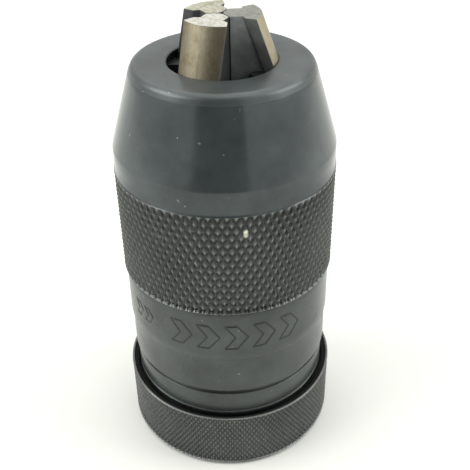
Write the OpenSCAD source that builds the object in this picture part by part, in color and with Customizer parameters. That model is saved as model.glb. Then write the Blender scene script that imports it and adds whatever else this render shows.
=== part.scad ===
// Keyless self-tightening drill chuck with a B12 taper socket.
// +Z runs along the spindle axis towards the jaws; the origin is the centre of the rear face.
// The jaws are drawn almost closed. Turning the sleeve screws the left-hand spindle in or out
// of the body, and the spindle's T-slots drag the jaws along the cone of the hood.

/* [Overall] */
// Height of the hood's front face above the rear face
nose_z = 83.4; // [82.9:0.1:83.9]
// Radius of the knurled band of the hood
grip_r = 21.5; // [21.2:0.1:22]
// Radius of the hood's flat front face
face_r = 15.9; // [15.5:0.1:16.3]

/* [Jaws] */
// Angle between the jaws' slides and the spindle axis
jaw_angle = 19.1; // [18.9:0.1:19.3]
// Direction of the first jaw, seen from the front
jaw_azimuth = -118; // [-180:1:180]
// Radius of the hole in the front face, which the jaws' backs touch
mouth_r = 10; // [9.9:0.1:10.1]
// Distance from the spindle axis to each jaw's gripping land
tip_r = 0.4; // [0.35:0.05:0.6]
// Half the width of the gripping land
land_w = 0.45; // [0.25:0.05:0.45]
// Height of the jaws' tips above the rear face
tip_z = 91.6; // [89:0.1:93]
// Radius of the rounded back of a jaw
back_r = 7.6; // [7.2:0.1:8]

/* [Thread] */
// Radius of the spindle's thread
thread_r = 7; // [6.5:0.1:7.2]

/* [Taper socket] */
// Large-end diameter of the B12 taper
taper_d = 12.065; // [12:0.005:12.1]
// Taper, as length over change of diameter
taper_ratio = 20.047; // [19:0.001:21]
// Depth of the socket
taper_depth = 20.5; // [18.5:0.5:21]

/* [Thrust bearing] */
// Diameter of each ball
ball_d = 3.175; // [3:0.025:3.175]
// Number of balls
ball_count = 20; // [12:1:20]
// Radius of the ball circle
ball_circle_r = 14.6; // [14.5:0.05:14.65]

/* [Hidden] */
$fn = 96;

slip = 0.05;              // running clearance between sliding faces
slot_gap = 0.1;           // clearance each side of a jaw in its channel
cut = 1;                  // overshoot of a cutting tool past a face
slope = tan(jaw_angle);
black = [0.16, 0.17, 0.17];
dark = [0.22, 0.23, 0.23];
steel = [0.66, 0.64, 0.6];
brass = [0.71, 0.58, 0.32];

// Heights above the rear face, from the rear forwards
flange_top = 11;          // body's rear flange, which carries the knurled ring
ring_top = 14;            // front edge of the knurled ring
collar_bottom = 12.5;
collar_step = 20;         // joint line between the collar and the shell
race_bottom = 23;
race_t = 1.2;
ball_z = 25.5;
bearing_top = 28;
thrust_top = 32;          // front of the body's thrust flange
rib_bottom = 32.9;        // rear of the shell's internal rib
rib_top = 35.5;
shell_step = 29.6;
knurl_bottom = 41;        // joint line between the shell and the hood
hub_top = 47;
skirt_bottom = 50;        // rear end of the jaw guide, clamped by the shell
skirt_top = 56;
head_bottom = 60.4;       // spindle head
head_top = 68.4;
guide_shelf = 69.6;
guide_top = 81.6;
knurl_top = 63.2;
cone_bottom = 67.8;
thread_bottom = 23.3;
stem_bottom = 36.2;
foot_z = 62.5;            // jaws' T-feet
foot_h = 3;
tail_top = 69;

// Radii
ring_r = 22.3;
lip_r = 20.8;             // wall of the recess in the knurled ring
flange_r = 17;
neck_r = 12;
journal_r = 16.95;        // body's thrust flange, which carries the shell
hub_r = 10;
shell_r = 20.8;
band_r = 21.05;
collar_r = 20.45;
cone_r = 21.3;            // foot of the hood's cone
cavity_r = 19;            // hood's bore and the thread that joins it to the shell
spigot_bore_r = 16.5;
collar_thread_r = 18.5;
joint_bevel = 0.45;       // bevels that make the groove between the collar and the shell
head_r = 11.5;
skirt_bore_r = 15.7;
guide_bore_r = 5.6;

// Section of a jaw
neck_w = 2.2;             // half width of the jaw behind its gripping land
back_w = 4.1;             // half width across the rounded back
side_in = 1.3;            // depth where the sides start to lean inwards
shoulder_in = 3.4;        // depth of the shoulder at the neck
shoulder_out = 3;         // depth of the shoulder at its outer edge
shoulder_w = 3.3;         // half width at that edge
jaw_inner = 4;            // inner and outer ends of the T-foot
jaw_outer = 10.5;
foot_w = 3.9;
jaw_back_limit = 14;      // the back is cut upright here, to stay inside the open hood
wedge_slope = tan(60);

// Radius of the hood's inner cone at a height
function cone_at(z) = mouth_r + slip + (nose_z - z) * slope;
function jaw_direction(i) = jaw_azimuth + 120 * i;

module ring_solid(points) { rotate_extrude() polygon(points); }

module tube(r_in, r_out, z0, z1) {
    translate([0, 0, z0]) difference() {
        cylinder(r = r_out, h = z1 - z0);
        translate([0, 0, -cut]) cylinder(r = r_in, h = z1 - z0 + 2 * cut);
    }
}

// Outline of a jaw across its slide: x is the depth from its back, y is across it
module jaw_section(gap) {
    intersection() {
        translate([-back_r, 0]) circle(r = back_r + gap);
        polygon([[gap, back_w + gap], [-side_in, back_w + gap], [-shoulder_out - gap, shoulder_w + gap],
                 [-shoulder_in - gap, neck_w + gap], [-shoulder_in - gap, -neck_w - gap],
                 [-shoulder_out - gap, -shoulder_w - gap], [-side_in, -back_w - gap],
                 [gap, -back_w - gap]]);
    }
    translate([-40, -neck_w - gap]) square([40 - shoulder_in + 0.5, 2 * (neck_w + gap)]);
}

// A bar of that outline along the slide, through the edge of the hood's mouth
module jaw_bar(gap) {
    translate([mouth_r, 0, nose_z]) rotate([0, -jaw_angle, 0])
        translate([0, 0, -60]) linear_extrude(height = 90) jaw_section(gap);
}

// One jaw, in the direction of +X
module jaw_blade() {
    reach = jaw_back_limit - tip_r;
    half = land_w + reach * wedge_slope;
    intersection() {
        jaw_bar(0);
        translate([0, 0, tail_top]) linear_extrude(height = tip_z - tail_top)
            polygon([[tip_r, -land_w], [tip_r, land_w], [jaw_back_limit, half],
                     [jaw_back_limit, -half]]);
    }
}

module jaw_tail() {
    web_h = tail_top - foot_z;
    translate([jaw_inner, -foot_w, foot_z]) cube([jaw_outer - jaw_inner, 2 * foot_w, foot_h]);
    translate([jaw_inner, -neck_w, foot_z]) cube([jaw_outer - jaw_inner, 2 * neck_w, web_h + 0.5]);
}

module jaw(i) {
    color(steel) rotate([0, 0, jaw_direction(i)]) union() {
        jaw_blade();
        jaw_tail();
    }
}

// Body: taper socket behind, thrust flange in the middle, threaded hub in front
module body() {
    bevel = 0.6;
    color(dark) difference() {
        ring_solid([[0, 0], [flange_r - bevel, 0], [flange_r, bevel], [flange_r, flange_top],
                    [neck_r, flange_top], [neck_r, bearing_top], [journal_r, bearing_top],
                    [journal_r, thrust_top], [hub_r, thrust_top], [hub_r, hub_top - bevel],
                    [hub_r - bevel, hub_top], [0, hub_top]]);
        taper_socket();
        translate([0, 0, thread_bottom]) cylinder(r = thread_r, h = hub_top);
        translate([0, 0, hub_top - bevel]) cylinder(r1 = thread_r, r2 = thread_r + 2 * bevel, h = 2 * bevel);
    }
}

module taper_socket() {
    mouth = taper_d / 2;
    end = mouth - taper_depth / taper_ratio / 2;
    cylinder(r1 = mouth, r2 = end, h = taper_depth);
    translate([0, 0, -cut]) cylinder(r1 = mouth + cut + 0.5, r2 = mouth, h = cut + 0.5);
}

// Knurled ring pressed on the body's rear flange
module rear_ring() {
    bevel = 0.8;
    color(black) ring_solid([[flange_r, 0], [ring_r - bevel, 0], [ring_r, bevel],
        [ring_r, ring_top - bevel / 2], [ring_r - bevel / 2, ring_top],
        [ring_r - bevel, ring_top], [lip_r, ring_top - bevel], [lip_r, flange_top + 0.2], [flange_r, flange_top + 0.2]]);
}

// Thrust bearing: two grooved washers, a cage and its balls
module race(r_in, r_out, z0) {
    color(steel) difference() {
        tube(r_in, r_out, z0, z0 + race_t);
        translate([0, 0, ball_z]) rotate_extrude()
            translate([ball_circle_r, 0]) circle(r = ball_d / 2 + slip);
    }
}

module front_race() { race(neck_r + slip, 16.7, bearing_top - race_t); }

module rear_race() { race(12.6, 16.9, race_bottom); }

module ball_cage() {
    cage_t = 1.6;
    color(brass) difference() {
        tube(12.5, 16.7, ball_z - cage_t / 2, ball_z + cage_t / 2);
        for (i = [0 : ball_count - 1]) rotate([0, 0, i * 360 / ball_count])
            translate([ball_circle_r, 0, ball_z - cage_t])
                cylinder(r = ball_d / 2 + 0.06, h = 2 * cage_t, $fn = 32);
    }
}

module bearing_balls() {
    color(steel) for (i = [0 : ball_count - 1]) rotate([0, 0, i * 360 / ball_count])
        translate([ball_circle_r, 0, ball_z]) sphere(r = ball_d / 2, $fn = 32);
}

// Spring washer that keeps the bearing loaded, with three waves round its ring
module wave_washer() {
    steps = 72;
    waves = 3;
    r_in = 10.8;
    r_out = 15.5;
    half_t = 0.14;
    height = 0.24;
    mid = (thrust_top + rib_bottom) / 2;
    points = [for (i = [0 : steps - 1]) let (a = i * 360 / steps, z = mid + height * sin(waves * a))
              each [for (corner = [[r_in, -half_t], [r_out, -half_t], [r_out, half_t], [r_in, half_t]])
                    [corner[0] * cos(a), corner[0] * sin(a), z + corner[1]]]];
    faces = [for (i = [0 : steps - 1]) let (a = 4 * i, b = 4 * ((i + 1) % steps))
             each [for (k = [0 : 3]) let (m = (k + 1) % 4) each
                   [[a + k, b + m, b + k], [a + k, a + m, b + m]]]];
    color(steel) polyhedron(points = points, faces = faces);
}

// Collar screwed into the rear of the shell: it holds the thrust bearing in
module rear_collar() {
    bevel = 0.9;
    groove_z = ring_top + 1.1;
    groove_w = 0.25;
    color(black) ring_solid([[neck_r + 0.3, collar_bottom], [collar_r - bevel, collar_bottom],
        [collar_r, collar_bottom + 2 * bevel], [collar_r, groove_z - groove_w],
        [collar_r - groove_w, groove_z], [collar_r, groove_z + groove_w], [collar_r, collar_step - joint_bevel],
        [collar_r - joint_bevel, collar_step], [collar_thread_r, collar_step],
        [collar_thread_r, race_bottom], [neck_r + 0.3, race_bottom]]);
}

// Shell: smooth outer sleeve behind the hood, with an internal rib that runs on the hub
module shell() {
    color(black) ring_solid([[collar_thread_r, collar_step], [shell_r - joint_bevel, collar_step],
        [shell_r, collar_step + joint_bevel], [shell_r, shell_step - 0.25], [band_r, shell_step],
        [band_r, knurl_bottom - 0.3], [band_r - 0.3, knurl_bottom], [cavity_r - slip, knurl_bottom],
        [cavity_r - slip, skirt_bottom - 0.5], [cavity_r - 0.5 - slip, skirt_bottom],
        [spigot_bore_r, skirt_bottom], [spigot_bore_r, rib_top], [hub_r + slip, rib_top],
        [hub_r + slip, rib_bottom], [journal_r + slip, rib_bottom],
        [journal_r + slip, race_bottom], [collar_thread_r, race_bottom]]);
}

// Spindle: left-hand screw with three T-slots in its head
module spindle() {
    slot_z = foot_z - slot_gap;
    color(steel) difference() {
        union() {
            translate([0, 0, head_bottom]) cylinder(r = head_r, h = head_top - head_bottom);
            translate([0, 0, stem_bottom + 1]) cylinder(r = thread_r - slip, h = head_bottom - stem_bottom);
            translate([0, 0, stem_bottom]) cylinder(r1 = thread_r - slip - 1, r2 = thread_r - slip, h = 1);
        }
        for (i = [0 : 2]) rotate([0, 0, jaw_direction(i)]) {
            translate([jaw_inner - 0.6, -foot_w - slot_gap, slot_z])
                cube([head_r, 2 * (foot_w + slot_gap), foot_h + 2 * slot_gap]);
            translate([jaw_inner - 0.6, -neck_w - slot_gap, slot_z])
                cube([head_r, 2 * (neck_w + slot_gap), head_top]);
        }
        translate([0, 0, head_top - 1]) cylinder(r1 = 0.4, r2 = 1.4, h = 1 + slip);
    }
}

// Jaw guide: seats in the hood's cone and keeps the jaws apart in three channels
module jaw_guide() {
    seat = 0.02;
    cone_foot_z = nose_z - (cavity_r - mouth_r - slip) / slope;
    color(dark) difference() {
        ring_solid([[skirt_bore_r, skirt_bottom], [cavity_r - seat - 0.4, skirt_bottom],
            [cavity_r - seat, skirt_bottom + 0.4], [cavity_r - seat, cone_foot_z],
            [cone_at(guide_top) - seat, guide_top], [guide_bore_r, guide_top],
            [guide_bore_r, guide_shelf], [head_r + 0.3, guide_shelf],
            [head_r + 0.3, skirt_top + 0.5], [skirt_bore_r, skirt_top + 0.5]]);
        intersection() {
            for (i = [0 : 2]) rotate([0, 0, jaw_direction(i)]) {
                jaw_bar(slot_gap);
                open_side();
            }
            translate([0, 0, skirt_top]) cylinder(r = cavity_r + 5, h = 40);
        }
        for (i = [0 : 2]) rotate([0, 0, jaw_direction(i)]) foot_path();
        key_bar(0.8);
    }
}

// Opens a jaw's channel outwards over the full width of its back, so that no thin edge is left
module open_side() {
    half = back_w + slot_gap;
    translate([mouth_r, 0, nose_z]) rotate([0, -jaw_angle, 0])
        translate([0, 0, -60]) linear_extrude(height = 90)
            translate([-side_in, -half]) square([side_in + 6, 2 * half]);
}

// Space swept by a jaw's T-foot as it moves down and out
module foot_path() {
    half = foot_w + 2 * slot_gap;
    top = foot_z + foot_h + slot_gap;
    out = jaw_outer + 2 * slot_gap;
    translate([0, half, 0]) rotate([90, 0, 0]) linear_extrude(height = 2 * half)
        polygon([[0, skirt_top], [out + (top - skirt_top) * slope, skirt_top], [out, top], [0, top]]);
}

// Pin that keys the guide to the hood, half in each
module key_bar(r) {
    rotate([0, 0, jaw_azimuth + 180]) translate([cavity_r, 0, skirt_bottom + 0.5]) cylinder(r = r, h = 5, $fn = 32);
}

module key_pin() { color(steel) key_bar(0.78); }

// Hood: tapered nose and knurled grip, with the cone that closes the jaws
module hood() {
    bevel = 1.2;
    cone_foot_z = nose_z - (cavity_r - mouth_r - slip) / slope;
    color(black) difference() {
        ring_solid([[cavity_r, knurl_bottom], [grip_r - 0.5, knurl_bottom], [grip_r, knurl_bottom + 0.5],
            [grip_r, knurl_top - 0.3], [cone_r, knurl_top], [cone_r, cone_bottom],
            [face_r + 0.9 * bevel, nose_z - bevel], [face_r, nose_z], [mouth_r + slip, nose_z],
            [cavity_r, cone_foot_z]]);
        key_bar(0.8);
    }
}

body();
rear_ring();
front_race();
rear_race();
ball_cage();
bearing_balls();
wave_washer();
rear_collar();
shell();
spindle();
jaw_guide();
key_pin();
hood();
jaw(0);  // jaw_1
jaw(1);  // jaw_2
jaw(2);  // jaw_3
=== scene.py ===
"""Looks for the keyless drill chuck: black oxide, two diamond knurls, ground jaws, white table."""
import math

import bmesh
import bpy
from mathutils import Matrix, Vector


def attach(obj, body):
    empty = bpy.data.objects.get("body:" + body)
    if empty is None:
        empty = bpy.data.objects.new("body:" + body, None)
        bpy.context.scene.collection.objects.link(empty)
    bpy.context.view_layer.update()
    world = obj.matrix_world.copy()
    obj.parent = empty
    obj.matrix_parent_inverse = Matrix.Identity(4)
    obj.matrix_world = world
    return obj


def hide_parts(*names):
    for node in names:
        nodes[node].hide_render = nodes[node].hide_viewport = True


MM = 0.001
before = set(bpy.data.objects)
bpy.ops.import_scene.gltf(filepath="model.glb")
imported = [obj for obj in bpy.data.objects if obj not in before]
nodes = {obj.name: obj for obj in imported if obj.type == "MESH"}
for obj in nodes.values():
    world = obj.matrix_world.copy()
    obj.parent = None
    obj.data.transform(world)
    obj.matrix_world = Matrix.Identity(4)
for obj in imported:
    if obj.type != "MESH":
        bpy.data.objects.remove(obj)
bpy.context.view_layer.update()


# ---------------------------------------------------------------- materials

def new_material(name):
    mat = bpy.data.materials.new(name)
    mat.use_nodes = True
    tree = mat.node_tree
    bsdf = next(n for n in tree.nodes if n.type == "BSDF_PRINCIPLED")
    return mat, tree, bsdf


def noise(tree, scale, detail=4.0, roughness=0.6, stretch=(1.0, 1.0, 1.0)):
    """A noise texture in object coordinates, scale counted per metre."""
    coords = tree.nodes.new("ShaderNodeTexCoord")
    mapping = tree.nodes.new("ShaderNodeMapping")
    mapping.inputs["Scale"].default_value = stretch
    tree.links.new(coords.outputs["Object"], mapping.inputs["Vector"])
    tex = tree.nodes.new("ShaderNodeTexNoise")
    tex.inputs["Scale"].default_value = scale
    tex.inputs["Detail"].default_value = detail
    tex.inputs["Roughness"].default_value = roughness
    tree.links.new(mapping.outputs["Vector"], tex.inputs["Vector"])
    return tex.outputs["Fac"]


def ramp(tree, source, stops):
    """A colour ramp; each stop is (position, colour)."""
    node = tree.nodes.new("ShaderNodeValToRGB")
    cells = node.color_ramp.elements
    while len(cells) < len(stops):
        cells.new(0.5)
    for cell, (position, colour) in zip(cells, stops):
        cell.position = position
        cell.color = (*colour, 1.0)
    tree.links.new(source, node.inputs["Fac"])
    return node.outputs["Color"]


def span(tree, source, low, high, out_low, out_high):
    """Maps low..high to out_low..out_high, clamped."""
    node = tree.nodes.new("ShaderNodeMapRange")
    node.inputs["From Min"].default_value = low
    node.inputs["From Max"].default_value = high
    node.inputs["To Min"].default_value = out_low
    node.inputs["To Max"].default_value = out_high
    tree.links.new(source, node.inputs["Value"])
    return node.outputs["Result"]


def mix(tree, factor, a, b):
    """Blends colour a into colour b by a factor socket. A colour is a socket or three numbers."""
    node = tree.nodes.new("ShaderNodeMix")
    node.data_type = "RGBA"
    tree.links.new(factor, node.inputs[0])
    for socket, value in ((node.inputs[6], a), (node.inputs[7], b)):
        if isinstance(value, bpy.types.NodeSocket):
            tree.links.new(value, socket)
        else:
            socket.default_value = (*value, 1.0)
    return node.outputs[2]


def bump(tree, bsdf, source, strength, distance, under=None):
    node = tree.nodes.new("ShaderNodeBump")
    node.inputs["Strength"].default_value = strength
    node.inputs["Distance"].default_value = distance
    tree.links.new(source, node.inputs["Height"])
    if under is not None:
        tree.links.new(under, node.inputs["Normal"])
    tree.links.new(node.outputs["Normal"], bsdf.inputs["Normal"])
    return node.outputs["Normal"]


def sharp_noise(tree, scale, threshold):
    """1 on small specks of the noise above the threshold, 0 elsewhere."""
    return span(tree, noise(tree, scale, 2.0, 0.5), threshold, threshold + 0.02, 0.0, 1.0)


def axis_distance(tree):
    """Distance from the spindle axis, in metres."""
    coords = tree.nodes.new("ShaderNodeTexCoord")
    flat = tree.nodes.new("ShaderNodeVectorMath")
    flat.operation = "MULTIPLY"
    flat.inputs[1].default_value = (1.0, 1.0, 0.0)
    tree.links.new(coords.outputs["Object"], flat.inputs[0])
    length = tree.nodes.new("ShaderNodeVectorMath")
    length.operation = "LENGTH"
    tree.links.new(flat.outputs["Vector"], length.inputs[0])
    return length.outputs["Value"]


def distance_to(tree, point):
    """Distance from a point in metres, halved along Y and Z so that the spot comes out long."""
    coords = tree.nodes.new("ShaderNodeTexCoord")
    away = tree.nodes.new("ShaderNodeVectorMath")
    away.operation = "SUBTRACT"
    away.inputs[1].default_value = point
    tree.links.new(coords.outputs["Object"], away.inputs[0])
    squeeze = tree.nodes.new("ShaderNodeVectorMath")
    squeeze.operation = "MULTIPLY"
    squeeze.inputs[1].default_value = (1.0, 0.5, 0.5)
    tree.links.new(away.outputs["Vector"], squeeze.inputs[0])
    length = tree.nodes.new("ShaderNodeVectorMath")
    length.operation = "LENGTH"
    tree.links.new(squeeze.outputs["Vector"], length.inputs[0])
    return length.outputs["Value"]


def black_oxide(name, tone, rough, dust=0.0, ring_lines=True, worn=None, etched=None, lint=None):
    """Blackened steel: a dark coat, cloudy oil sheen, turning lines, tiny pale specks and dust.

    worn and etched are (low, high) radii in mm between which a knurl's peaks are rubbed bright by
    wear and its valleys are darkened as painted shade, or an engraving's floor is dark. lint is the
    middle of one pale speck, in metres."""
    mat, tree, bsdf = new_material(name)
    cloud = noise(tree, 120.0, 6.0, 0.62)
    fine_grain = noise(tree, 2600.0, 3.0, 0.6)
    dark = tuple(c * 0.72 for c in tone)
    pale = tuple(c * 1.3 for c in tone)
    colour = ramp(tree, cloud, [(0.3, dark), (0.5, tone), (0.72, pale)])
    specks = sharp_noise(tree, 900.0, 0.735)
    colour = mix(tree, specks, colour, tuple(min(1.0, c * 2.6 + 0.05) for c in tone))
    if worn:
        peaks = span(tree, axis_distance(tree), worn[0] * MM, worn[1] * MM, 0.0, 1.0)
        # The knurl's valleys are darkened as painted shade; its peaks are rubbed bright by wear
        valleys = span(tree, peaks, 0.0, 0.5, 0.75, 0.0)
        colour = mix(tree, valleys, colour, tuple(c * 0.3 for c in tone))
        rubbed = span(tree, peaks, 0.75, 1.0, 0.0, 0.7)
        colour = mix(tree, rubbed, colour, tuple(c * 3.2 for c in tone))
    if etched:
        floor = span(tree, axis_distance(tree), etched[0] * MM, etched[1] * MM, 0.8, 0.0)
        colour = mix(tree, floor, colour, tuple(c * 0.25 for c in tone))
    if dust:
        powder = span(tree, noise(tree, 1500.0, 4.0, 0.7), 0.58, 0.75, 0.0, dust)
        colour = mix(tree, powder, colour, (0.34, 0.34, 0.31))
    if lint:
        speck = span(tree, distance_to(tree, lint), 0.00035, 0.00055, 1.0, 0.0)
        colour = mix(tree, speck, colour, (0.72, 0.72, 0.6))
    tree.links.new(colour, bsdf.inputs["Base Color"])
    bsdf.inputs["Metallic"].default_value = 0.4
    smear = noise(tree, 60.0, 5.0, 0.6, (1.0, 1.0, 0.5))
    sheen = span(tree, smear, 0.3, 0.7, rough - 0.06, rough + 0.08)
    tree.links.new(sheen, bsdf.inputs["Roughness"])
    under = None
    if ring_lines:
        lines = noise(tree, 5200.0, 2.0, 0.5, (0.004, 0.004, 1.0))
        under = bump(tree, bsdf, lines, 0.22, 0.00003)
    bump(tree, bsdf, fine_grain, 0.16, 0.00003, under)
    return mat


def bare_steel(name, tone, rough, stretch=(1.0, 1.0, 0.02), stain=0.5):
    """Ground or turned steel: fine lines one way, faint oil stains."""
    mat, tree, bsdf = new_material(name)
    lines = noise(tree, 4200.0, 3.0, 0.7, stretch)
    stains = noise(tree, 260.0, 6.0, 0.7)
    colour = ramp(tree, lines, [(0.3, tuple(c * 0.8 for c in tone)), (0.7, tone)])
    worn = tuple(c * k for c, k in zip(tone, (0.5, 0.42, 0.32)))
    colour = mix(tree, span(tree, stains, 0.58, 0.74, 0.0, stain), colour, worn)
    tree.links.new(colour, bsdf.inputs["Base Color"])
    bsdf.inputs["Metallic"].default_value = 1.0
    sheen = span(tree, stains, 0.3, 0.7, rough - 0.06, rough + 0.1)
    tree.links.new(sheen, bsdf.inputs["Roughness"])
    bump(tree, bsdf, lines, 0.25, 0.00003)
    return mat


oxide_nose = black_oxide("oxide_nose", (0.056, 0.067, 0.069), 0.17)
oxide_face = black_oxide("oxide_face", (0.062, 0.073, 0.073), 0.31)
oxide_knurl = black_oxide("oxide_knurl", (0.056, 0.061, 0.058), 0.24, dust=0.35, ring_lines=False,
                          worn=(21.1, 21.47), lint=(0.00329, -0.02125, 0.0593))
oxide_ring = black_oxide("oxide_ring", (0.080, 0.086, 0.081), 0.26, dust=0.45, ring_lines=False,
                         worn=(21.9, 22.27))
# A lighter oxide for the ring's top lip: a painted highlight
ring_lip_highlight = black_oxide("ring_lip_highlight", (0.125, 0.13, 0.122), 0.3, ring_lines=False)
oxide_shell = black_oxide("oxide_shell", (0.054, 0.063, 0.060), 0.27)
oxide_etched = black_oxide("oxide_etched", (0.054, 0.063, 0.060), 0.27, etched=(20.95, 21.03))
# Darker oxide for the body and the jaw guide, also used as painted shade in the ring's inner gap
# and the collar's groove
dark_oxide_and_painted_shade = black_oxide("dark_oxide_and_painted_shade", (0.045, 0.047, 0.047), 0.4)
screw_steel = bare_steel("screw_steel", (0.36, 0.355, 0.34), 0.3, stretch=(0.02, 0.02, 1.0))
bearing_steel = bare_steel("bearing_steel", (0.62, 0.62, 0.62), 0.14, stretch=(0.1, 0.1, 1.0),
                           stain=0.1)
spring_steel = bare_steel("spring_steel", (0.14, 0.17, 0.24), 0.28)
brass = bare_steel("cage_brass", (0.62, 0.42, 0.16), 0.26, stain=0.3)


# ---------------------------------------------------------------- lathed meshes

def mesh_object(name, verts, faces, mat, smooth_angle=40.0):
    mesh = bpy.data.meshes.new(name)
    mesh.from_pydata(verts, [], faces)
    mesh.materials.append(mat)
    for poly in mesh.polygons:
        poly.use_smooth = True
    mesh.validate()
    obj = bpy.data.objects.new(name, mesh)
    bpy.context.scene.collection.objects.link(obj)
    mesh.set_sharp_from_angle(angle=math.radians(smooth_angle))
    return obj


def close_poles(obj):
    """Merges the points that lie on the spindle axis, so that a lathed piece closes there."""
    work = bmesh.new()
    work.from_mesh(obj.data)
    poles = [v for v in work.verts if v.co.xy.length < 0.000001]
    bmesh.ops.remove_doubles(work, verts=poles, dist=0.0000005)
    bmesh.ops.delete(work, geom=[e for e in work.edges if not e.link_faces], context="EDGES")
    work.to_mesh(obj.data)
    work.free()


def lathe(name, outline, mat, steps, radius=None, smooth_angle=30.0):
    """Turns a closed outline of (r, z) in mm round Z. radius(theta, r, z) may move a point."""
    verts, faces = [], []
    count = len(outline)
    for k in range(steps):
        theta = 2 * math.pi * k / steps
        c, s = math.cos(theta), math.sin(theta)
        for r, z in outline:
            rr = radius(theta, r, z) if radius else r
            verts.append((rr * c * MM, rr * s * MM, z * MM))
    for k in range(steps):
        a, b = k * count, ((k + 1) % steps) * count
        for i in range(count):
            j = (i + 1) % count
            faces.append((a + i, b + i, b + j, a + j))
    obj = mesh_object(name, verts, faces, mat, smooth_angle)
    if any(r == 0 for r, z in outline):
        close_poles(obj)
    return obj


def arc(cx, cz, r, a0, a1, n):
    """Points on an arc in the (r, z) plane, angles in degrees."""
    return [(cx + r * math.cos(math.radians(a0 + (a1 - a0) * i / n)),
             cz + r * math.sin(math.radians(a0 + (a1 - a0) * i / n))) for i in range(n + 1)]


def diamond(u, v):
    """Height 0..1 of a diamond knurl at whole-number pitch along its two helices u and v."""
    a = abs((u % 1.0) - 0.5) * 2.0
    b = abs((v % 1.0) - 0.5) * 2.0
    return 1.0 - max(a, b)


def coat(obj, mat, where):
    """Gives a further material to the faces whose middle, at (r, z) in mm, passes the test."""
    obj.data.materials.append(mat)
    index = len(obj.data.materials) - 1
    for poly in obj.data.polygons:
        if where(poly.center.xy.length / MM, poly.center.z / MM):
            poly.material_index = index


# ---------------------------------------------------------------- pieces of revolution

# Lengths in mm, angles in degrees. A knurl has so many diamonds round and one every AXIAL
# along Z; FLAT is the part of their height that is left, FADE the run-out at either end
SLOPE = math.tan(math.radians(19.1))
JAW_AZIMUTHS = (-118.0, 2.0, 122.0)
NOSE_Z, NOSE_HOLE_R = 83.4, 10.05
CONE_LOW, CONE_LOW_R = 68.1, 21.2
CONE_HIGH, CONE_HIGH_R = 82.25, 17.02
FACE_LOW = 82.0
CAVITY_R = 19.0
GRIP_R, KNURL_LOW, KNURL_HIGH = 21.5, 41.45, 63.0
HOOD_DIAMONDS, HOOD_AXIAL, HOOD_DEPTH = 82, 2.85, 0.5
HOOD_FLAT, HOOD_FADE = 0.8, 0.35
RING_R, RING_LOW, RING_HIGH = 22.3, 0.9, 13.86
RING_DIAMONDS, RING_AXIAL, RING_DEPTH = 136, 1.6, 0.43
RING_FLAT, RING_FADE = 0.9, 0.15
DIAMOND_STEPS = 8
KNURL_SMOOTH = 28.0


def grid_rows(low, high, step):
    """Even heights from low to high, both included, about one step apart."""
    count = max(1, round((high - low) / step))
    return [low + (high - low) * i / count for i in range(count + 1)]


def fade(z, low, high, run):
    """1 between low and high, falling to 0 over one run at either end."""
    return max(0.0, min(1.0, (z - low) / run, (high - z) / run))


def hood_radius(theta, r, z):
    if r < GRIP_R - 0.1 or not KNURL_LOW < z < KNURL_HIGH:
        return r
    u = HOOD_DIAMONDS * theta / (2 * math.pi)
    h = min(HOOD_FLAT, diamond(u + z / HOOD_AXIAL, u - z / HOOD_AXIAL)) / HOOD_FLAT
    return r - HOOD_DEPTH * (1.0 - h) * fade(z, KNURL_LOW, KNURL_HIGH, HOOD_FADE)


def hood_outline():
    foot_z = NOSE_Z - (CAVITY_R - NOSE_HOLE_R) / SLOPE
    outline = [(CAVITY_R, 41.0), (21.0, 41.0), (21.2, 41.04), (21.42, 41.25)]
    outline += [(GRIP_R, z) for z in grid_rows(KNURL_LOW, KNURL_HIGH, HOOD_AXIAL / DIAMOND_STEPS)]
    outline += [(21.34, 63.22), (21.3, 63.35), (21.3, 65.6), (21.3, 67.55), (21.26, 67.85),
                (CONE_LOW_R, CONE_LOW)]
    for z in grid_rows(70.0, 81.8, 1.0):
        drop = (z - CONE_LOW) * (CONE_LOW_R - CONE_HIGH_R) / (CONE_HIGH - CONE_LOW)
        outline.append((CONE_LOW_R - drop, z))
    outline += arc(15.45, 81.9, 1.5, 18, 88, 12)
    outline += [(15.0, NOSE_Z), (13.0, NOSE_Z), (10.5, NOSE_Z), (10.3, 83.37), (10.1, 83.2)]
    outline += [(NOSE_HOLE_R + (NOSE_Z - z) * SLOPE, z) for z in grid_rows(82.8, foot_z, -2.0)]
    outline += [(CAVITY_R, foot_z - 4), (CAVITY_R, 46.0)]
    return outline


hood = lathe("hood_skin", hood_outline(), oxide_nose, HOOD_DIAMONDS * DIAMOND_STEPS,
             hood_radius, KNURL_SMOOTH)
coat(hood, oxide_knurl, lambda r, z: KNURL_LOW < z < KNURL_HIGH and r > CAVITY_R + 1.5)
coat(hood, oxide_face, lambda r, z: z > FACE_LOW)
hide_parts("hood")
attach(hood, "sleeve")


def ring_radius(theta, r, z):
    if r < RING_R - 0.05 or not RING_LOW < z < RING_HIGH:
        return r
    u = RING_DIAMONDS * theta / (2 * math.pi)
    h = min(RING_FLAT, diamond(u + z / RING_AXIAL, u - z / RING_AXIAL)) / RING_FLAT
    return r - RING_DEPTH * (1.0 - h) * fade(z, RING_LOW, RING_HIGH, RING_FADE)


ring_outline = [(17.0, 0.0), (21.3, 0.0), (21.5, 0.02), (21.8, 0.2), (22.15, 0.6)]
ring_outline += [(RING_R, z) for z in grid_rows(RING_LOW, RING_HIGH, RING_AXIAL / DIAMOND_STEPS)]
ring_outline += [(22.2, 13.92), (22.1, 13.97), (22.0, 14.0), (21.92, 13.99), (21.82, 13.93),
                 (21.6, 13.76), (20.86, 13.24), (20.8, 13.12), (20.8, 12.6), (20.8, 11.3),
                 (20.6, 11.2), (19.0, 11.2), (17.0, 11.2)]
ring = lathe("rear_ring_skin", ring_outline, oxide_ring, RING_DIAMONDS * DIAMOND_STEPS,
             ring_radius, KNURL_SMOOTH)
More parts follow.
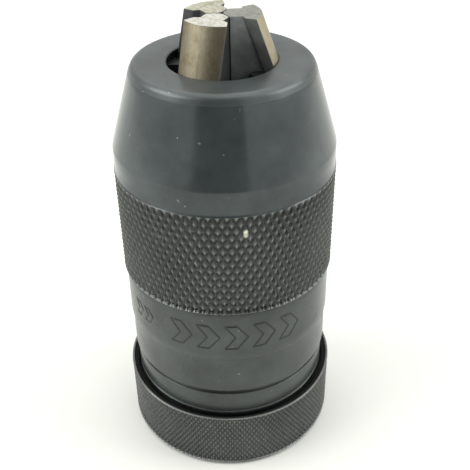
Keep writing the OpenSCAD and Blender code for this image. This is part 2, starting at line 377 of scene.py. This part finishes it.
# The top lip gets the lighter oxide: a painted highlight
coat(ring, ring_lip_highlight, lambda r, z: z > RING_HIGH + 0.02)
# The inner chamfer and wall in the gap to the collar get the dark material: painted shade
coat(ring, dark_oxide_and_painted_shade, lambda r, z: 11.0 < z <= RING_HIGH + 0.02 and r < 21.7)
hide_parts("rear_ring")
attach(ring, "chuck_body")


def stroke(distance, width):
    """1 on a line of that half width, fading out over the same again."""
    return max(0.0, min(1.0, 2.0 - distance / width))


def segment(x, y, ax, ay, bx, by):
    dx, dy = bx - ax, by - ay
    t = max(0.0, min(1.0, ((x - ax) * dx + (y - ay) * dy) / (dx * dx + dy * dy)))
    return math.hypot(x - ax - t * dx, y - ay - t * dy)


def chevron_outline(x, y, size):
    """Distance from a point to the outline of one chevron arrow of that height."""
    h, w, d = size / 2, size * 0.42, size * 0.36
    points = [(-w, h), (0, h), (w * 0.9, 0), (0, -h), (-w, -h), (-w + d, 0)]
    return min(segment(x, y, *points[k], *points[(k + 1) % 6]) for k in range(6))


# The engraved arrows: each one's direction and height, then the row's middle and its field
MARKS = [(-116.0, 5.6), (-101.0, 5.6), (-86.0, 5.6), (-71.0, 5.6), (-56.0, 5.6),
         (-148.0, 3.4), (-139.0, 3.4)]
MARK_Z, MARKS_LOW, MARKS_HIGH = 35.3, 31.4, 39.2
MARK_DEPTH, MARK_LINE = 0.12, 0.13
# The shell's radius behind the faint step and in front of it
STEP_R, SHELL_R = 20.8, 21.05


def shell_radius(theta, r, z):
    if r < SHELL_R - 0.15 or not MARKS_LOW + 0.1 < z < MARKS_HIGH:
        return r
    degrees = math.degrees(theta)
    degrees = degrees - 360.0 if degrees > 180.0 else degrees
    depth = 0.0
    for centre, size in MARKS:
        x = math.radians(degrees - centre) * SHELL_R
        if abs(x) < size:
            depth = max(depth, stroke(chevron_outline(x, z - MARK_Z, size), MARK_LINE))
    return r - MARK_DEPTH * depth


shell_outline = [(17.0, 23.0), (18.5, 23.0), (18.5, 20.1), (18.6, 20.0), (19.9, 20.0), (20.0, 20.1),
                 (20.15, 20.3), (20.45, 20.42), (20.62, 20.56), (20.73, 20.76), (20.79, 21.0),
                 (STEP_R, 21.3), (STEP_R, 22.5), (STEP_R, 26.0), (STEP_R, 29.2), (20.83, 29.34),
                 (20.98, 29.5), (SHELL_R, 29.66)]
shell_outline += [(SHELL_R, z) for z in grid_rows(MARKS_LOW, 39.3, 0.13)]
shell_outline += [(SHELL_R, 40.6), (20.98, 40.82), (20.8, 40.96), (20.6, 41.0), (18.95, 41.0),
                  (18.95, 49.5), (18.45, 50.0), (16.5, 50.0), (16.5, 35.5), (10.05, 35.5),
                  (10.05, 32.9), (17.0, 32.9)]
shell = lathe("shell_skin", shell_outline, oxide_shell, 1024, shell_radius)
coat(shell, oxide_etched, lambda r, z: MARKS_LOW < z < MARKS_HIGH and r > 20.5)
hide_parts("shell")
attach(shell, "sleeve")


COLLAR_R = 20.45
collar_outline = [(12.3, 12.5), (19.3, 12.5), (19.6, 12.55), (19.85, 12.8), (20.2, 13.6),
                  (20.36, 13.85), (20.44, 14.05), (COLLAR_R, 14.25), (20.42, 14.36), (20.3, 14.43),
                  (20.12, 14.5), (20.08, 14.58), (20.08, 14.98), (20.2, 15.06), (COLLAR_R, 15.12),
                  (COLLAR_R, 17.0), (COLLAR_R, 19.35), (20.43, 19.46), (20.36, 19.54),
                  (20.1, 19.62), (19.95, 19.8), (19.9, 20.0), (18.5, 20.0), (18.5, 23.0),
                  (12.3, 23.0)]
collar = lathe("rear_collar_skin", collar_outline, oxide_shell, 256)
# Painted shade: the floor of the shallow groove near the rear edge gets the dark material
coat(collar, dark_oxide_and_painted_shade, lambda r, z: 14.5 < z < 15.05 and 20.0 < r < 20.2)
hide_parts("rear_collar")
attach(collar, "sleeve")


# Body: the taper socket, the thrust flange and the left-hand nut thread
PITCH = 2.5
LEFT_HAND = -1
NUT_R, NUT_DEPTH = 7.0, 0.55
NUT_LOW, NUT_HIGH = 24.5, 46.0


def thread_wave(theta, z, hand):
    """Height 0..1 of a trapezoidal thread's section at a point."""
    turn = (z / PITCH - hand * theta / (2 * math.pi)) % 1.0
    return max(0.0, min(1.0, (0.5 - abs(turn - 0.5) * 2.0) * 2.4 + 0.5))


def body_radius(theta, r, z):
    if NUT_R - 0.1 < r < NUT_R + 0.05 and NUT_LOW < z < NUT_HIGH:
        return r + NUT_DEPTH * thread_wave(theta, z, LEFT_HAND)
    return r


body_outline = [(6.53, 0.0), (16.4, 0.0), (16.7, 0.08), (16.92, 0.3), (17.0, 0.6), (17.0, 11.0),
                (12.2, 11.0), (12.0, 11.2), (12.0, 28.0), (16.75, 28.0), (16.95, 28.2),
                (16.95, 31.8), (16.75, 32.0), (10.2, 32.0), (10.0, 32.2), (10.0, 46.4),
                (9.85, 46.75), (9.4, 47.0), (7.6, 47.0), (7.05, 46.45)]
body_outline += [(NUT_R, z) for z in grid_rows(46.2, 23.8, -PITCH / 10)]
body_outline += [(NUT_R, 23.3), (0, 23.3), (0, 20.5), (5.4, 20.5), (5.52, 20.4), (6.03, 0.5)]
body = lathe("body_skin", body_outline, dark_oxide_and_painted_shade, 192, body_radius)
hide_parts("body")
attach(body, "chuck_body")


# Spindle: a left-hand screw under the T-slotted head
SCREW_LOW, SCREW_HIGH = 36.9, 58.9
SCREW_ROOT, SCREW_MID, SCREW_TOP = 5.85, 6.4, 6.95


def spindle_radius(theta, r, z):
    if abs(r - SCREW_MID) < 0.1 and SCREW_LOW < z < SCREW_HIGH:
        run = fade(z, SCREW_LOW, SCREW_HIGH, 1.2)
        height = 1.0 - thread_wave(theta, z, LEFT_HAND)
        return SCREW_ROOT + (SCREW_TOP - SCREW_ROOT) * height * run
    return r


spindle_outline = [(0, 36.2), (4.8, 36.2), (5.4, 36.35), (5.8, 36.7)]
spindle_outline += [(SCREW_MID, z) for z in grid_rows(SCREW_LOW, SCREW_HIGH, PITCH / 12)]
spindle_outline += [(5.8, 59.1), (5.8, 59.9), (6.1, 60.3), (6.3, 60.4), (11.1, 60.4),
                    (11.38, 60.52), (11.5, 60.8), (11.5, 64.0), (11.5, 68.0), (11.38, 68.28),
                    (11.1, 68.4), (1.5, 68.4), (0.4, 67.4), (0, 67.2)]
spindle = lathe("spindle_skin", spindle_outline, screw_steel, 160, spindle_radius)


def block(x0, x1, half, z0, z1, azimuth):
    """Corners and faces of a box along one jaw's direction, in metres."""
    turn = Matrix.Rotation(math.radians(azimuth), 3, "Z")
    base = ((x0, -half), (x1, -half), (x1, half), (x0, half))
    corners = [turn @ Vector((x, y, z)) * MM for z in (z0, z1) for x, y in base]
    faces = [(0, 3, 2, 1), (4, 5, 6, 7), (0, 1, 5, 4), (1, 2, 6, 5), (2, 3, 7, 6), (3, 0, 4, 7)]
    return [tuple(c) for c in corners], faces


# The T-slot's wide cut for the jaw's foot, then the narrow one: inner end, half width, bottom, top
T_SLOT = ((3.4, 4.0, 62.4, 65.6), (3.46, 2.3, 63.1, 70.0))
for azimuth in JAW_AZIMUTHS:
    for inner, half, z0, z1 in T_SLOT:
        verts, faces = block(inner, 13.0, half, z0, z1, azimuth)
        tool = mesh_object("slot_tool", verts, faces, screw_steel)
        cut = spindle.modifiers.new("slot", "BOOLEAN")
        cut.operation = "DIFFERENCE"
        cut.solver = "EXACT"
        cut.object = tool
        bpy.context.view_layer.update()
        graph = bpy.context.evaluated_depsgraph_get()
        shaped = bpy.data.meshes.new_from_object(spindle.evaluated_get(graph))
        spindle.modifiers.clear()
        spindle.data = shaped
        bpy.data.objects.remove(tool)
spindle.data.set_sharp_from_angle(angle=math.radians(30.0))
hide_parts("spindle")
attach(spindle, "spindle")


# ---------------------------------------------------------------- CAD nodes

def softened(name, width, mat, segments=2):
    """A CAD node kept as it is, with its edges eased."""
    obj = nodes[name]
    obj.data.materials.clear()
    obj.data.materials.append(mat)
    weld = obj.modifiers.new("weld", "WELD")
    weld.merge_threshold = 0.000001
    if width:
        bevel = obj.modifiers.new("bevel", "BEVEL")
        bevel.width = width * MM
        bevel.segments = segments
        bevel.limit_method = "ANGLE"
        bevel.angle_limit = math.radians(30.0)
        bevel.harden_normals = True


def jaw_material(name, azimuth, end_low, end_high, painted_light_gain):
    """Ground back and end faces; the flanks keep their blue-black hardening colour, with painted
    shade on the faces turned toward the axis and on the flank facing +Y.

    end_low and end_high are the end face's tones, and the last argument brightens the back; each
    jaw has its own values, which paint in how light falls on it."""
    mat, tree, bsdf = new_material(name)
    coords = tree.nodes.new("ShaderNodeTexCoord")
    spin = tree.nodes.new("ShaderNodeMapping")
    spin.vector_type = "NORMAL"
    spin.inputs["Rotation"].default_value = (0.0, 0.0, math.radians(-azimuth))
    tree.links.new(coords.outputs["Normal"], spin.inputs["Vector"])
    parts = tree.nodes.new("ShaderNodeSeparateXYZ")
    tree.links.new(spin.outputs["Vector"], parts.inputs["Vector"])
    back = span(tree, parts.outputs["X"], 0.45, 0.62, 0.0, 1.0)
    end = span(tree, parts.outputs["Z"], 0.80, 0.90, 0.0, 1.0)
    lines = noise(tree, 3600.0, 3.0, 0.7, (1.0, 1.0, 0.03))
    cloud = noise(tree, 420.0, 6.0, 0.7)
    spots = noise(tree, 1600.0, 3.0, 0.6)
    flank = ramp(tree, cloud, [(0.3, (0.20, 0.215, 0.23)), (0.7, (0.34, 0.35, 0.34))])
    # Faces turned toward the axis get a darker tone: painted shade
    side = ramp(tree, cloud, [(0.3, (0.12, 0.127, 0.125)), (0.7, (0.19, 0.197, 0.19))])
    flank = mix(tree, span(tree, parts.outputs["X"], -0.25, -0.15, 1.0, 0.0), flank, side)
    # The flank facing +Y in each jaw's own frame is painted darker: painted shade
    painted_shade_flank = ramp(tree, cloud, [(0.3, (0.045, 0.046, 0.055)), (0.7, (0.085, 0.085, 0.08))])
    flank = mix(tree, span(tree, parts.outputs["Y"], 0.5, 0.75, 0.0, 1.0), flank, painted_shade_flank)
    ground = ramp(tree, lines, [(0.25, tuple(c * painted_light_gain for c in (0.135, 0.12, 0.082))),
                                (0.75, tuple(c * painted_light_gain for c in (0.20, 0.178, 0.125)))])
    stains = span(tree, cloud, 0.52, 0.72, 0.0, 0.7)
    ground = mix(tree, stains, ground, tuple(c * painted_light_gain for c in (0.105, 0.085, 0.04)))
    bright = ramp(tree, spots, [(0.35, end_low), (0.6, end_high)])
    colour = mix(tree, back, flank, ground)
    colour = mix(tree, end, colour, bright)
    tree.links.new(colour, bsdf.inputs["Base Color"])
    shine = mix(tree, back, (0.35, 0.35, 0.35), (0.9, 0.9, 0.9))
    shine = mix(tree, end, shine, (0.6, 0.6, 0.6))
    tree.links.new(shine, bsdf.inputs["Metallic"])
    tree.links.new(span(tree, cloud, 0.3, 0.7, 0.38, 0.5), bsdf.inputs["Roughness"])
    bump(tree, bsdf, lines, 0.3, 0.00004)
    return mat


# Each jaw's end face tones and back brightness differ to paint in how light falls on it: painted
# light and shade on three copies of one steel
JAW_ENDS = (((0.38, 0.37, 0.30), (0.56, 0.56, 0.51), 0.92),
            ((0.17, 0.17, 0.148), (0.25, 0.25, 0.228), 2.1),
            ((0.26, 0.245, 0.16), (0.45, 0.44, 0.36), 1.0))
for index, (azimuth, (end_low, end_high, painted_light_gain)) in enumerate(zip(JAW_AZIMUTHS, JAW_ENDS)):
    finish = jaw_material("ground_jaw_%d" % (index + 1), azimuth, end_low, end_high, painted_light_gain)
    softened("jaw_%d" % (index + 1), 0.16, finish, 3)
softened("jaw_guide", 0.15, dark_oxide_and_painted_shade)
softened("front_race", 0.0, bearing_steel)
softened("rear_race", 0.0, bearing_steel)
softened("ball_cage", 0.0, brass)
softened("bearing_balls", 0.0, bearing_steel)
softened("wave_washer", 0.0, spring_steel)
softened("key_pin", 0.05, spring_steel)


# ---------------------------------------------------------------- table, light, camera

def plane(name, centre, size, mat, facing=(0, 0, 1)):
    turn = Vector(facing).to_track_quat("Z", "Y").to_matrix()
    hx, hy = size[0] / 2, size[1] / 2
    square = ((-hx, -hy, 0), (hx, -hy, 0), (hx, hy, 0), (-hx, hy, 0))
    corners = [turn @ Vector(c) + Vector(centre) for c in square]
    obj = mesh_object(name, [tuple(c) for c in corners], [(0, 1, 2, 3)], mat)
    return obj


paper, tree, bsdf = new_material("white_paper")
tone = ramp(tree, noise(tree, 9.0, 3.0, 0.5),
            [(0.3, (0.735, 0.74, 0.705)), (0.7, (0.75, 0.755, 0.72))])
tree.links.new(tone, bsdf.inputs["Base Color"])
bsdf.inputs["Roughness"].default_value = 0.9
bsdf.inputs["Specular IOR Level"].default_value = 0.1
plane("table", (0, 0, 0), (3.0, 3.0), paper)

dark_card, tree, bsdf = new_material("dark_card")
bsdf.inputs["Base Color"].default_value = (0.03, 0.033, 0.036, 1.0)
bsdf.inputs["Roughness"].default_value = 0.9
card = plane("room_in_front", (-0.04, -0.42, 0.38), (0.42, 0.80), dark_card, (0, 1, 0))
card.visible_camera = False

world = bpy.data.worlds.new("soft_white")
bpy.context.scene.world = world
world.use_nodes = True
background = next(n for n in world.node_tree.nodes if n.type == "BACKGROUND")
background.inputs["Color"].default_value = (1.0, 1.0, 0.985, 1.0)
background.inputs["Strength"].default_value = 0.9


def area_light(name, position, target, size, power):
    data = bpy.data.lights.new(name, "AREA")
    data.shape = "RECTANGLE"
    data.size, data.size_y = size
    data.energy = power
    data.color = (1.0, 1.0, 0.98)
    obj = bpy.data.objects.new(name, data)
    bpy.context.scene.collection.objects.link(obj)
    obj.location = position
    obj.rotation_euler = (Vector(target) - Vector(position)).to_track_quat("-Z", "Y").to_euler()


area_light("window_left", (-0.55, -0.10, 0.45), (0, 0, 0.04), (0.5, 0.4), 3.1)
area_light("window_right", (0.60, -0.05, 0.40), (0, 0, 0.04), (0.4, 0.4), 2.5)
area_light("ceiling", (0.05, 0.25, 0.75), (0, 0, 0.03), (1.4, 1.0), 4.6)

camera_data = bpy.data.cameras.new("camera")
camera_data.sensor_width = 36.0
camera_data.lens = 58.98
camera_data.clip_start = 0.005
camera = bpy.data.objects.new("camera", camera_data)
bpy.context.scene.collection.objects.link(camera)
# The camera's place in metres and its angles in radians, fitted to the photo
camera_at = (0.0, -0.13204, 0.13499)
pitch, yaw, roll = 0.5988, 0.01241, -0.01975
level = math.cos(pitch)
forward = Vector((math.sin(yaw) * level, math.cos(yaw) * level, -math.sin(pitch)))
right = forward.cross(Vector((0, 0, 1))).normalized()
up = right.cross(forward)
side = math.cos(roll) * right + math.sin(roll) * up
top = -math.sin(roll) * right + math.cos(roll) * up
turn = Matrix((side, top, -forward)).transposed()
camera.matrix_world = Matrix.Translation(camera_at) @ turn.to_4x4()
bpy.context.scene.camera = camera
bpy.context.scene.view_settings.view_transform = "Standard"
